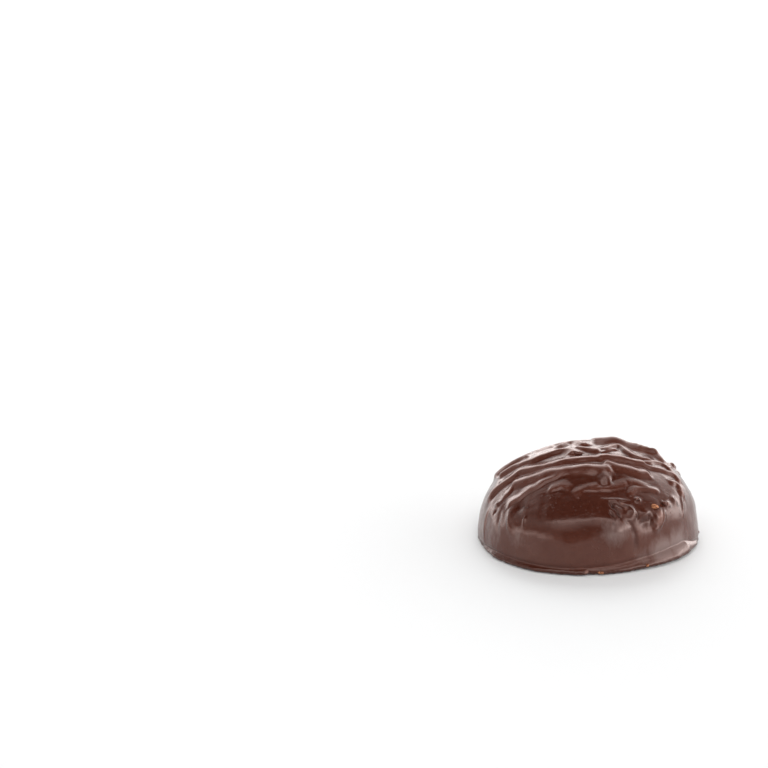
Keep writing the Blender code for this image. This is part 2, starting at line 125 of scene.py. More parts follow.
CREST_WIDTH = 0.30  # distance from a crest over which a highlight is painted paler
CLIMB_POWER = 1.2  # above 1 the back slope of a ridge runs out gently
RIDGE_END = 1.5  # length over which a ridge rises from nothing at each end
RIDGE_END_SHARE = 0.4  # of a short ridge's whole length, where that is less
RIDGE_FADE = (7.5, 12.0)  # ridges fade out between these heights of the shoulder
DRIFTS = ((9.0, 0.15), (3.5, 0.12))  # wavelength, and how far the ridges wander off their path

# Bumps and dents: centre, reach across, reach along, direction of the long way, height.
LUMPS = (
    ((1.5, -9.0, 19.5), 5.0, 13.0, (1, 0, 0), 0.65),  # fuller stretch before the top
    ((3.7, -12.0, 18.7), 1.4, 1.8, (0, 1, 0), 0.85),  # round drop on the dark front of the top
    ((5.5, -12.3, 18.3), 0.45, 1.8, (0, 1, 0), -0.35),  # groove at its right edge
    ((3.5, -14.5, 17.9), 0.5, 1.0, (1, 0, 0), -0.30),
    ((6.3, -18.6, 15.8), 0.5, 2.6, (1, 0, 0), 0.40),  # fold over the broken chunk
    ((7.3, -19.6, 15.2), 0.35, 1.7, (3, -1, -1), 0.45),  # rim of the chunk
    ((6.2, -21.3, 14.4), 0.9, 1.1, (1, -2, -2), 0.55),  # broken chunk at the front shoulder
    ((5.2, -20.4, 15.0), 0.3, 1.3, (1, -2, -1), -0.70),  # crack on its left
    ((6.3, -22.3, 13.7), 0.3, 1.3, (2, -3, -3), -0.70),
    ((5.1, -22.8, 13.5), 0.3, 1.4, (2, -3, -3), -0.50),  # second crack beside it
    ((6.1, -24.1, 10.4), 3.0, 3.2, (0, 0, 1), 1.25),  # thick run of coating below it
    ((8.5, -23.0, 12.0), 0.5, 1.6, (1, 0, -1), -0.45),  # hollow along that run's right edge
    ((10.0, -22.8, 9.4), 0.7, 1.9, (1, 0, -3), -0.40),
    ((10.6, -22.9, 6.6), 0.8, 1.8, (0, 0, 1), -0.25),
    ((5.0, -24.2, 11.6), 0.4, 0.5, (0, 0, 1), -0.40),
    ((9.7, -20.9, 13.8), 0.8, 1.5, (1, -2, -2), 0.60),
    ((12.8, -20.1, 12.8), 0.9, 1.4, (2, 2, 1), 0.60),
    ((11.1, -21.2, 12.7), 0.4, 0.9, (0, -1, -2), -0.35),
    ((12.8, -20.9, 11.0), 1.2, 1.4, (1, 0, 0), -0.45),
    ((11.1, -17.5, 15.3), 0.70, 0.75, (1, 0, 0), 0.65),  # burst bubble
    ((11.1, -17.6, 15.3), 0.28, 0.30, (1, 0, 0), -1.10),
    ((16.4, -18.0, 11.5), 1.2, 2.0, (0, -1, -4), 0.50),  # wedge under the pale crumb
    ((17.2, -17.4, 10.9), 0.3, 2.0, (-1, -2, -3), 0.50),
    ((15.5, -18.7, 11.6), 0.3, 1.7, (2, -1, -5), 0.40),
    ((14.3, -19.7, 11.0), 0.5, 1.5, (0, 0, 1), -0.40),
    ((15.4, -19.5, 8.9), 1.0, 1.1, (1, 0, 0), 0.55),
    ((18.4, -14.4, 13.2), 0.7, 0.9, (1, 1, 1), 0.50),
    ((20.2, -11.7, 13.2), 0.9, 1.2, (0, 0, 1), 0.40),
    ((22.3, -9.7, 11.3), 0.5, 2.6, (0, -1, -1), 0.40),  # run of coating down the right wall
    ((-16.2, -15.4, 12.8), 0.9, 1.7, (0, -1, -1), -0.35),  # dent in the left shoulder
    ((-18.5, -16.6, 9.6), 0.9, 4.0, (0, -1, -1), 0.45),  # runs of coating below it
    ((-15.3, -19.3, 11.0), 0.4, 1.6, (0, -1, -2), 0.25),
    ((-21.0, -13.3, 8.8), 0.7, 3.5, (0, -1, -2), -0.25),
    ((-23.8, -7.1, 6.5), 0.7, 4.0, (0, -1, -3), 0.35),
    ((-21.7, -10.1, 9.8), 0.5, 0.9, (0, 0, 1), -0.30),
    ((-21.2, -8.8, 11.1), 0.7, 0.8, (1, 0, 0), 0.50),
    ((-20.6, -0.2, 13.2), 0.5, 0.9, (0, 1, 0), -0.50),
    ((-2.2, -26.4, 0.9), 0.9, 1.3, (1, 0, 0), 0.45),  # drip at the front of the foot
    ((-0.4, -26.4, 0.3), 0.5, 0.6, (0, 0, 1), -0.60),
    ((7.2, 9.4, 20.8), 2.2, 2.4, (1, 0, 0), 0.75),  # highest stretch of the top
    ((10.2, 9.0, 20.4), 0.8, 1.6, (0, 1, 0), -0.95),
    ((14.0, 9.5, 19.4), 0.7, 3.2, (0, 1, 0), -1.40),
    ((18.9, 7.8, 16.4), 0.9, 2.4, (0, 1, 0), -1.40),
    ((21.0, 9.5, 8.0), 1.6, 4.0, (0, 0, 1), 0.50),
    ((10.0, 21.5, 10.0), 2.2, 3.0, (1, 0, 0), 0.50),
    ((-8.0, 22.0, 7.5), 0.9, 5.0, (0, 0, 1), 0.40),
    ((-19.5, 12.5, 8.0), 1.0, 5.0, (0, 0, 1), 0.35),
    ((-1.5, 22.6, 9.5), 0.9, 2.5, (0, 0, 1), -0.40),
)

# Crumbs that the coating covers, flatter on top than the bumps: the same five values.
CRAGS = (
    ((12.4, 8.7, 20.0), 1.0, 1.2, (1, 0, 0), 0.85),
    ((16.4, 7.7, 18.5), 1.2, 1.7, (1, 0, -0.3), 1.10),
    ((17.9, 7.4, 17.6), 0.6, 0.8, (0, 1, 0), 0.50),
    ((20.8, 8.0, 14.4), 1.1, 1.3, (0, 1, 0), 0.80),
    ((22.2, 6.8, 13.0), 0.7, 1.1, (0, 0, 1), 0.35),
    ((24.6, 3.2, 9.4), 0.7, 0.9, (0, 0, 1), 0.15),
    ((16.8, -14.6, 13.4), 0.7, 0.8, (1, 0, 0), 0.55),
    ((-4.8, -1.4, 21.3), 0.9, 1.2, (1, 0, 0), 0.35),
    ((6.0, 19.5, 14.5), 1.0, 1.4, (1, 0, 0), 0.80),
    ((-4.5, 20.5, 13.0), 0.9, 1.2, (0, 1, 0), 0.70),
    ((13.5, 17.0, 13.0), 1.1, 1.2, (1, 0, 0), 0.80),
    ((-12.0, 18.5, 12.0), 0.9, 1.3, (1, 0, 0), 0.60),
    ((18.5, 14.5, 9.5), 0.8, 1.0, (0, 0, 1), 0.60),
)

# The lip round the foot: azimuth from +X in degrees, height of the crease above it, how far it bulges.
LIP = (
    (10, 0.8, 0.00),
    (60, 2.2, 0.45),
    (100, 1.4, 0.30),
    (140, 2.4, 0.45),
    (175, 0.8, 0.00),
    (198, 0.9, 0.10),
    (215, 1.5, 0.65),
    (240, 1.5, 0.80),
    (265, 1.7, 0.60),
    (285, 2.1, 0.70),
    (300, 2.8, 0.95),
    (318, 3.4, 1.30),
    (331, 3.4, 1.10),
    (341, 1.8, 0.45),
    (352, 0.8, 0.00),
)
LIP_SKEW = 0.6  # below 1 the lip bulges most near the floor
LIP_POWER = 0.8  # below 1 it is fuller than a half sine
CREASE_DEPTH = 0.22
CREASE_REACH = 0.45
EDGE_CRUMBS = 0.07  # how far the bottom edge is crumbled, for crumbs of each of the next sizes
EDGE_CRUMB_SIZES = (1.4, 2.3, 4.1)

UNEVEN = ((9.0, 0.08), (4.5, 0.03), (2.4, 0.012))  # wavelength and height of each octave
WAVE_COUNT = 7  # plane waves in one random field
WAVE_STRETCH = (0.75, 1.35)  # how far their wavelengths differ
LEAST_RISE = 0.02  # no point above the underside lies closer to the floor
TURN_STEP = 1e-3  # radians, for normals
TINY = 1e-6


def smoothstep(low, high, value):
    """From 0 at low to 1 at high, level at both."""
    t = np.clip((value - low) / (high - low), 0, 1)
    return t * t * (3 - 2 * t)


def disc_grid(cells):
    """A square grid bent into a disc: each point's distance from the middle, 0 to 1, and azimuth.

    A square ring of the grid becomes a circle, and steps along its sides become even turns.
    """
    a, b = np.meshgrid(np.linspace(-1, 1, cells + 1), np.linspace(-1, 1, cells + 1), indexing="ij")
    wide = np.abs(a) >= np.abs(b)
    reach = np.where(wide, a, b)
    safe = np.where(reach == 0, 1, reach)
    turn = np.where(wide, np.pi / 4 * b / safe, np.pi / 2 - np.pi / 4 * a / safe)
    return np.abs(reach), np.where(reach < 0, turn + np.pi, turn)


def elevation_of(reach):
    """The angle above the floor, seen from the middle of the foot, of a grid point at this reach."""
    across, height = SHOULDER
    top = np.clip(reach / TOP_SHARE, 0, 1)
    wall = np.clip((1 - reach) / (1 - TOP_SHARE), 0, 1) ** FOOT_CROWDING
    upper = np.arctan2(DOME_HEIGHT - (DOME_HEIGHT - height) * top**2, across * top)
    lower = np.arctan2(height * wall, FOOT_RADIUS + (across - FOOT_RADIUS) * wall)
    return np.where(reach <= TOP_SHARE, upper, lower)


def body(azimuth, elevation):
    """The bare biscuit: how far its wall and its dome lie along each direction, blended by a power.

    The wall is a cone, the dome a paraboloid round its peak, and the blend is the power mean of the
    two distances from the middle of the foot.
    """
    up, out = np.sin(elevation), np.cos(elevation)
    corners = np.cos(FOOT_CORNERS * (azimuth - np.radians(CORNER_HEADING)))
    foot = FOOT_RADIUS + CORNER_REACH * corners
    wall = foot / (out + WALL_DRAFT * up)
    peak_x, peak_y = DOME_PEAK
    towards = peak_x * np.cos(azimuth) + peak_y * np.sin(azimuth)
    front = np.maximum(-np.sin(azimuth), 0) ** 2
    fall = DOME_FALL - FRONT_LIFT * front
    rise = up - 2 * fall * out * towards
    top = DOME_HEIGHT - DOME_FALL * (peak_x**2 + peak_y**2)
    dome = 2 * top / (rise + np.sqrt(rise**2 + 4 * fall * out**2 * top))
    power = SHOULDER_SHARPNESS + FRONT_SHARPNESS * front
    distance = (wall**-power + dome**-power) ** (-1 / power)
    flat = distance * out
    return np.stack([flat * np.cos(azimuth), flat * np.sin(azimuth), distance * up], axis=-1)


def outward(azimuth, elevation):
    """Unit normals of the bare biscuit, from two small steps to each side."""
    round_it = body(azimuth + TURN_STEP, elevation) - body(azimuth - TURN_STEP, elevation)
    # At the very peak a step round the axis goes nowhere, so a level one stands in for it.
    level = np.stack([-np.sin(azimuth), np.cos(azimuth), 0 * azimuth], axis=-1)
    still = np.linalg.norm(round_it, axis=-1, keepdims=True) < TINY
    round_it = np.where(still, level, round_it)
    up_it = body(azimuth, elevation + TURN_STEP) - body(azimuth, elevation - TURN_STEP)
    normal = np.cross(round_it, up_it)
    return normal / np.linalg.norm(normal, axis=-1, keepdims=True)


def waves(points, wavelength, seed):
    """A smooth random field between about -1 and 1: a few plane waves in seeded directions."""
    rng = np.random.default_rng(seed)
    total = 0
    for _ in range(WAVE_COUNT):
        direction = rng.normal(size=3)
        direction /= np.linalg.norm(direction)
        stretch = rng.uniform(*WAVE_STRETCH)
        phase = rng.uniform(0, 2 * np.pi)
        total = total + np.sin(points @ direction * 2 * np.pi / (wavelength * stretch) + phase)
    return total / np.sqrt(WAVE_COUNT)


def smooth_path(path):
    """A path with its corners cut twice."""
    path = np.array(path, float)
    for _ in range(2):
        before, after = path[:-1], path[1:]
        cut = np.stack([0.75 * before + 0.25 * after, 0.25 * before + 0.75 * after], axis=1)
        path = np.concatenate([path[:1], cut.reshape(-1, 2), path[-1:]])
    return path


def place_by_path(x, y, path):
    """How far behind a path points lie, negative in front of it, how far along it, and its length."""
    gap = np.full(x.shape, np.inf)
    side = np.zeros(x.shape)
    along = np.zeros(x.shape)
    gone = 0
    for start, step in zip(path, np.diff(path, axis=0)):
        length = np.hypot(*step)
        from_x, from_y = x - start[0], y - start[1]
        share = np.clip((from_x * step[0] + from_y * step[1]) / length**2, 0, 1)
        off_x, off_y = from_x - share * step[0], from_y - share * step[1]
        distance = np.hypot(off_x, off_y)
        nearer = distance < gap
        gap = np.where(nearer, distance, gap)
        side = np.where(nearer, step[0] * off_y - step[1] * off_x, side)
        along = np.where(nearer, gone + share * length, along)
        gone += length
    return np.copysign(gap, side), along, gone


def ridges(points):
    """The height of the ridges over the top, and a mask for the highlight painted paler along the crests:
    each ridge climbs evenly from the back to a crest, and drops in a short steep front. Where two meet
    they are joined smoothly. The painted highlight falls off as a bell with the distance from the crest.
    """
    x, y = points[..., 0], points[..., 1]
    for octave, (wavelength, sway) in enumerate(DRIFTS):
        x = x + sway * waves(points, wavelength, SEED + 1 + 2 * octave)
        y = y + sway * waves(points, wavelength, SEED + 2 + 2 * octave)
    joined = highlight_mask = 0
    for height, front, back, path in RIDGES:
        behind, along, length = place_by_path(x, y, smooth_path(path))
        beyond = np.hypot(behind, CREST_ROUND) - CREST_ROUND
        climb = np.clip(1 - beyond / back, 0, 1) ** CLIMB_POWER
        drop = np.cos(np.pi / 2 * np.clip(behind / front, -1, 0)) ** 2
        slope = np.where(behind < 0, drop, climb)
        end = min(RIDGE_END, RIDGE_END_SHARE * length)
        ends = smoothstep(0, end, along) * smoothstep(0, end, length - along)
        joined = joined + (height * slope * ends) ** 3
        # A highlight is painted paler along each crest.
        highlight_mask = np.maximum(highlight_mask, height * ends * np.exp(-((behind / CREST_WIDTH) ** 2)))
    low, high = RIDGE_FADE
    fade = smoothstep(low, high, points[..., 2])
    return (joined ** (1 / 3) + VALLEY) * fade, highlight_mask * fade


def lump_height(points):
    """Bumps fall off as a bell with the distance from a short line through their centre, and crags
    as the bell of that distance squared.
    """
    total = 0
    for table, power in ((LUMPS, 1), (CRAGS, 2)):
        for centre, across, along, direction, height in table:
            offset = points - np.array(centre)
            axis = np.array(direction) / np.linalg.norm(direction)
            run = offset @ axis
            side = np.maximum((offset**2).sum(axis=-1) - run**2, 0)
            total = total + height * np.exp(-((side / across**2 + (run / along) ** 2) ** power))
    return total


def lip_height(points, azimuth):
    """A half sine between the floor and the crease, the crease's groove, the bottom edge's turn, and
    waves along that edge that die out above it.
    """
    stations, creases, bulges = np.array(LIP).T
    degrees = np.degrees(azimuth) % 360
    crease = np.interp(degrees, stations, creases, period=360)
    bulge = np.interp(degrees, stations, bulges, period=360)
    height = points[..., 2]
    inside = np.clip(height / crease, 0, 1)
    lip = bulge * np.sin(np.pi * inside**LIP_SKEW) ** LIP_POWER
    groove = CREASE_DEPTH * np.exp(-(((height - crease) / CREASE_REACH) ** 2))
    tuck = FOOT_TUCK * (1 - np.clip(height / FOOT_ROUND, 0, 1)) ** 2
    rough = sum(EDGE_CRUMBS * waves(points, size, SEED + 30) for size in EDGE_CRUMB_SIZES)
    return lip - groove - tuck + rough * np.exp(-((height / FOOT_ROUND) ** 2))


def coated_surface(azimuth, elevation):
    """The biscuit with its coating: the bare body moved in or out along its normals."""
    points = body(azimuth, elevation)
    relief = ridges(points)[0] + lump_height(points) + lip_height(points, azimuth)
    for octave, (wavelength, height) in enumerate(UNEVEN):
        relief = relief + height * waves(points, wavelength, SEED + 10 + octave)
    moved = points + relief[..., None] * outward(azimuth, elevation)
    # The underside stays flat: the bottom edge moves only sideways.
    moved[..., 2] = np.where(points[..., 2] < TINY, 0, np.maximum(moved[..., 2], LEAST_RISE))
    return moved


def grid_faces(cells):
    """Quads of the square grid, and its border as one loop for the underside."""
    index = np.arange((cells + 1) ** 2).reshape(cells + 1, cells + 1)
    corners = (index[:-1, :-1], index[1:, :-1], index[1:, 1:], index[:-1, 1:])
    quads = np.stack([corner.ravel() for corner in corners], axis=-1)
    border = np.concatenate([index[0, :-1], index[:-1, -1], index[-1, :0:-1], index[:0:-1, 0]])
    return quads, border


def make_piece(name, points, faces, material):
    """A mesh of points in millimetres as one piece on the body."""
    mesh = bpy.data.meshes.new(name)
    mesh.from_pydata((points * MM).tolist(), [], faces)
    mesh.materials.append(material)
    mesh.shade_smooth()
    piece = bpy.data.objects.new(name, mesh)
    bpy.context.scene.collection.objects.link(piece)
    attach(piece, "root")
    return piece


# Spots painted paler besides the crests: centre, reach and strength.
PALE_SPOTS = (
    ((16.6, -17.9, 11.6), 1.4, 1.0),
    ((16.2, -18.5, 10.6), 1.2, 1.0),
    ((7.4, -19.6, 15.2), 0.5, 0.9),
    ((8.2, -20.6, 14.2), 0.5, 0.9),
    ((11.1, -17.0, 15.5), 0.5, 0.9),
    ((18.4, -14.4, 13.2), 0.6, 0.9),
    ((-0.9, -26.4, 1.0), 0.5, 0.9),
)
# Where a greyish sheen is painted on, standing in for light reflected off the coating.
PAINTED_SHEEN_SPOTS = (
    ((13.0, -22.5, 2.4), 3.2, 0.55),
    ((17.4, -19.3, 3.0), 3.6, 1.45),
    ((21.0, -15.3, 3.2), 3.6, 1.45),
    ((23.2, -11.8, 3.2), 2.6, 0.6),
    ((5.6, -24.6, 9.8), 3.4, 0.75),
    ((13.4, -21.8, 9.0), 2.4, 0.5),
    ((3.7, -12.0, 18.7), 1.8, 0.5),
    ((-16.5, -19.0, 7.0), 3.0, 0.5),
    ((-21.5, -12.5, 6.0), 3.4, 0.6),
)
EDGE_HEIGHT = 1.5  # painted shade darkens the bottom edge up to about here
EDGE_DEPTH = 0.5  # that painted shade is as dark as in a crack this deep


def nearness(points, spots):
    """The highest of the spots' bells at each point."""
    highest = np.zeros(points.shape[:-1])
    for centre, reach, strength in spots:
        apart = ((points - np.array(centre)) ** 2).sum(axis=-1)
        highest = np.maximum(highest, strength * np.exp(-apart / reach**2))
    return highest


def make_coating(material):
    """The coating: the disc grid draped over the biscuit, with one flat face as its underside. It
    holds at each point how much highlight is painted on its crests and paler spots, how high it lies
    on the ridges or how deep in a crack, lowered at the bottom edge for painted shade there, and how
    much greyish sheen is painted on it.
    """
    reach, azimuth = disc_grid(SURFACE_CELLS)
    elevation = elevation_of(reach)
    points = coated_surface(azimuth, elevation).reshape(-1, 3)
    quads, border = grid_faces(SURFACE_CELLS)
    faces = quads.tolist() + [border.tolist()]
    coating = make_piece("chocolate_coating", points, faces, material)
    bare = body(azimuth, elevation)
    # A highlight painted paler along the crests, and the paler spots.
    height, highlight_mask = ridges(bare)
    highlight_mask = np.maximum(highlight_mask, nearness(bare, PALE_SPOTS))
    # Painted shade: the colour darkens in the valleys, the dents and cracks, and towards the bottom edge
    # where the lip tucks under.
    edge = np.exp(-((bare[..., 2] / EDGE_HEIGHT) ** 2))
    relief = height + np.minimum(lump_height(bare), 0) - EDGE_DEPTH * edge
    # A greyish sheen painted on at its spots, kept off the bottom edge.
    painted_sheen = nearness(bare, PAINTED_SHEEN_SPOTS) * (1 - edge)
    for name, values in (("crest_highlight_and_pale_spots", highlight_mask), ("relief", relief), ("painted_sheen", painted_sheen)):
        coating.data.attributes.new(name, "FLOAT", "POINT").data.foreach_set("value", values.ravel())
    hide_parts("coated_polvoron")
    return coating


# ---------------------------------------------------------------- crumbs

# Azimuth and elevation in degrees, seen from the middle of the foot, radius, how far the centre
# stands out of the coating, and the stretch along X, Y, Z.
COATED_CRUMBS = (
    (-41, 30.5, 0.65, 0.20, (1.00, 0.9, 0.90)),
    (-164, 84.5, 0.60, 0.10, (1.30, 0.9, 0.70)),
    (-5, 3.6, 0.36, -0.16, (0.80, 1.2, 0.90)),
)
BARE_CRUMBS = (
    (-49.0, 30.5, 0.80, 0.15, (1.05, 0.8, 0.70)),
    (-85, 1.6, 0.45, 0.10, (1.50, 0.8, 0.60)),
    (-60, 2.6, 0.40, 0.10, (1.20, 0.9, 0.80)),
)
CRUMB_GRID = (20, 12)  # cells round and cells from pole to pole
CRUMB_ROUGHNESS = 0.20
CRUMB_WAVES = ((1.7, 1.0), (0.8, 0.45))  # wavelength on a ball of radius 1, and share


def crumb_centre(azimuth, elevation, proud):
    """The point this far out of the coating, in this direction from the middle of the foot."""
    azimuth = np.radians([azimuth])
    elevation = np.radians([elevation])
    return (coated_surface(azimuth, elevation) + proud * outward(azimuth, elevation))[0]


def ball_faces(around, rows, first):
    """Quads of a ball's rings, and a fan of triangles at each pole."""
    ring = np.arange(around)
    following = (ring + 1) % around
    faces = []
    for row in range(rows - 2):
        low = first + row * around
        high = low + around
        faces += np.stack([low + ring, low + following, high + following, high + ring], -1).tolist()
    bottom = first + (rows - 1) * around
    top = bottom + 1
    last = first + (rows - 2) * around
    faces += [[bottom, first + b, first + a] for a, b in zip(ring, following)]
    faces += [[top, last + a, last + b] for a, b in zip(ring, following)]
    return faces


def crumb_points(centre, radius, stretch, seed):
    """A ball whose radius follows a rough random field, stretched along the axes."""
    around, rows = CRUMB_GRID
    turn = np.linspace(0, 2 * np.pi, around, endpoint=False)
    tilt = np.linspace(-np.pi / 2, np.pi / 2, rows + 1)[1:-1]
    tilt, turn = np.meshgrid(tilt, turn, indexing="ij")
    rings = np.stack([np.cos(tilt) * np.cos(turn), np.cos(tilt) * np.sin(turn), np.sin(tilt)], -1)
    ball = np.concatenate([rings.reshape(-1, 3), [[0, 0, -1]], [[0, 0, 1]]])
    field = sum(share * waves(ball, size, seed + i) for i, (size, share) in enumerate(CRUMB_WAVES))
    rough = 1 + CRUMB_ROUGHNESS * field
    return centre + radius * rough[:, None] * ball * np.array(stretch)


def make_crumbs(name, crumbs, material, seed):
    """All crumbs of one table as one piece, each a rough ball at its place on the coating."""
    around, rows = CRUMB_GRID
    points, faces, count = [], [], 0
    for number, (azimuth, elevation, radius, proud, stretch) in enumerate(crumbs):
        centre = crumb_centre(azimuth, elevation, proud)
        ball = crumb_points(centre, radius, stretch, seed + 2 * number)
        faces += ball_faces(around, rows, count)
        points.append(ball)
        count += len(ball)
    return make_piece(name, np.concatenate(points), faces, material)


# ---------------------------------------------------------------- materials

CHOCOLATE = (0.071, 0.0210, 0.0130, 1.0)
CHOCOLATE_PALE = (0.079, 0.0262, 0.0170, 1.0)
CHOCOLATE_PAINTED_SHADE = (0.045, 0.0110, 0.0060, 1.0)  # painted shade in the cracks and valleys and along the bottom edge
CHOCOLATE_PAINTED_HIGHLIGHT = (0.150, 0.0720, 0.0560, 1.0)  # painted highlight on the crests and on the paler spots
# Painted greyish sheen, standing in for light reflected off the coating.
CHOCOLATE_PAINTED_SHEEN = (0.170, 0.1180, 0.1080, 1.0)
RIDGE_DULLNESS = 0.12  # added to the roughness on the ridges
CREST_DULLNESS = 0.08  # and once more where the painted crest highlight is full
COATING_IOR = 1.5
SHEEN_LEVEL = 0.46
SHEEN_TINT = (1.0, 0.82, 0.77, 1.0)  # cocoa butter gives the highlights a warm cast

# Patterns of the coating: sizes in millimetres, stretches along X, Y and Z, and the two values
# between which something sets in.
CLOUD_SIZE = 6.0
CLOUD_EDGES = (0.38, 0.68)
RAGGED_SIZE = 1.4  # makes the edges between colours ragged
RAGGED_SHARE = 0.3
# Relief at which the painted shade begins and where it is full.
PAINTED_SHADE_DEPTHS = (0.15, -0.20)
# Where the painted crest highlight and the paler spots set in.
PAINTED_HIGHLIGHT_EDGES = (0.40, 1.00)
# Streaks and edges of the painted greyish sheen.
STREAK_SIZE = 1.4
STREAK_STRETCH = (1.0, 1.0, 2.2)
PAINTED_SHEEN_EDGES = (0.70, 1.50)
POLISH_SIZE = 2.2
POLISH = ((0.3, 0.15), (0.7, 0.25))  # value of its noise, and roughness
RAISED_EDGES = (0.0, 0.4)
FLOW_SIZE = 0.9
FLOW_STRETCH = (3.0, 1.0, 1.6)
FLOW_SWIRL = 0.3
FLOW_DEPTH = 0.045
GRAIN_SIZE = 0.35
GRAIN_DEPTH = 0.018
SPECK_SIZE = 0.5
SPECK_EDGES = (0.83, 0.91)
SPECK_DEPTH = 0.032
GATHERED_SIZE = 7.0  # specks gather in patches
GATHERED_SHARE = 0.3

CRUMB_TAN = (0.50, 0.215, 0.095, 1.0)
CRUMB_BROWN = (0.16, 0.050, 0.020, 1.0)
CRUMB_DULLNESS = 0.75
TOAST_SIZE = 0.6
TOAST_EDGES = (0.42, 0.60)
CRUMB_GRAIN_SIZE = 0.3
CRUMB_GRAIN_DEPTH = 0.30


class Nodes:
    """A node tree, with short calls that add nodes and join them."""

    def __init__(self, tree):
        self.tree = tree

    def add(self, kind, **settings):
        node = self.tree.nodes.new(kind)
        for key, value in settings.items():
            setattr(node, key, value)
        return node

    def join(self, source, target):
        self.tree.links.new(source, target)

    def feed(self, value, socket):
        """A number or colour is set on the socket, and another node's output is joined to it."""
        if isinstance(value, (int, float, tuple)):
            socket.default_value = value
        else:
            self.join(value, socket)

    def math(self, operation, first, second=0.0):
        node = self.add("ShaderNodeMath", operation=operation)
        self.feed(first, node.inputs[0])
        self.feed(second, node.inputs[1])
        return node.outputs["Value"]

    def span(self, value, start, end):
        """The value taken from start..end to 0..1, and held there beyond either."""
        node = self.add("ShaderNodeMapRange")
        node.inputs["From Min"].default_value = start
        node.inputs["From Max"].default_value = end
        self.join(value, node.inputs["Value"])
        return node.outputs["Result"]

    def ramp(self, source, stops):
        """A grey ramp through these (position, grey) stops, with positions from 0 to 1."""
        node = self.add("ShaderNodeValToRGB")
        elements = node.color_ramp.elements
        while len(elements) < len(stops):
            elements.new(0.5)
        for element, (position, grey) in zip(elements, stops):
            element.position = position
            element.color = (grey, grey, grey, 1)
        self.join(source, node.inputs["Fac"])
        return node.outputs["Color"]

    def mix(self, share, first, second, kind="RGBA"):
        """The first value where the share is 0, the second where it is 1."""
        node = self.add("ShaderNodeMix", data_type=kind)
        self.join(share, node.inputs["Factor"])
        sort = {"RGBA": "RGBA", "FLOAT": "VALUE"}[kind]
        for name, value in (("A", first), ("B", second)):
            self.feed(value, next(s for s in node.inputs if s.name == name and s.type == sort))
        return next(s for s in node.outputs if s.type == sort)


class Shader(Nodes):
    """The nodes of a material, with its patterns on the object's own coordinates."""

    def __init__(self, name):
        self.material = bpy.data.materials.new(name)
        self.material.use_nodes = True
        super().__init__(self.material.node_tree)
        self.surface = self.tree.nodes["Principled BSDF"]
        self.place = self.add("ShaderNodeTexCoord").outputs["Object"]

    def scaled(self, factors):
        mapping = self.add("ShaderNodeMapping")
        mapping.inputs["Scale"].default_value = factors
        self.join(self.place, mapping.inputs["Vector"])
        return mapping.outputs["Vector"]

    def noise(self, size, detail=3.0, roughness=0.5, stretch=(1, 1, 1), distortion=0.0):
        """Noise whose features are about this many millimetres across."""
        node = self.add("ShaderNodeTexNoise")
        node.inputs["Scale"].default_value = 1.0
        node.inputs["Detail"].default_value = detail
        node.inputs["Roughness"].default_value = roughness
        node.inputs["Distortion"].default_value = distortion
        factors = [1 / (size * MM * along) for along in stretch]
        self.join(self.scaled(factors), node.inputs["Vector"])
        return node.outputs["Fac"]

    def attribute(self, name):
        """A number that the mesh holds at each point."""
        return self.add("ShaderNodeAttribute", attribute_name=name).outputs["Fac"]

    def bump(self, height, distance, under=None):
        """Relief of this depth in millimetres, over another bump if one is given."""
        node = self.add("ShaderNodeBump")
        node.inputs["Distance"].default_value = distance * MM
        node.inputs["Strength"].default_value = 1.0
        self.join(height, node.inputs["Height"])
        if under is not None:
            self.join(under, node.inputs["Normal"])
        return node.outputs["Normal"]


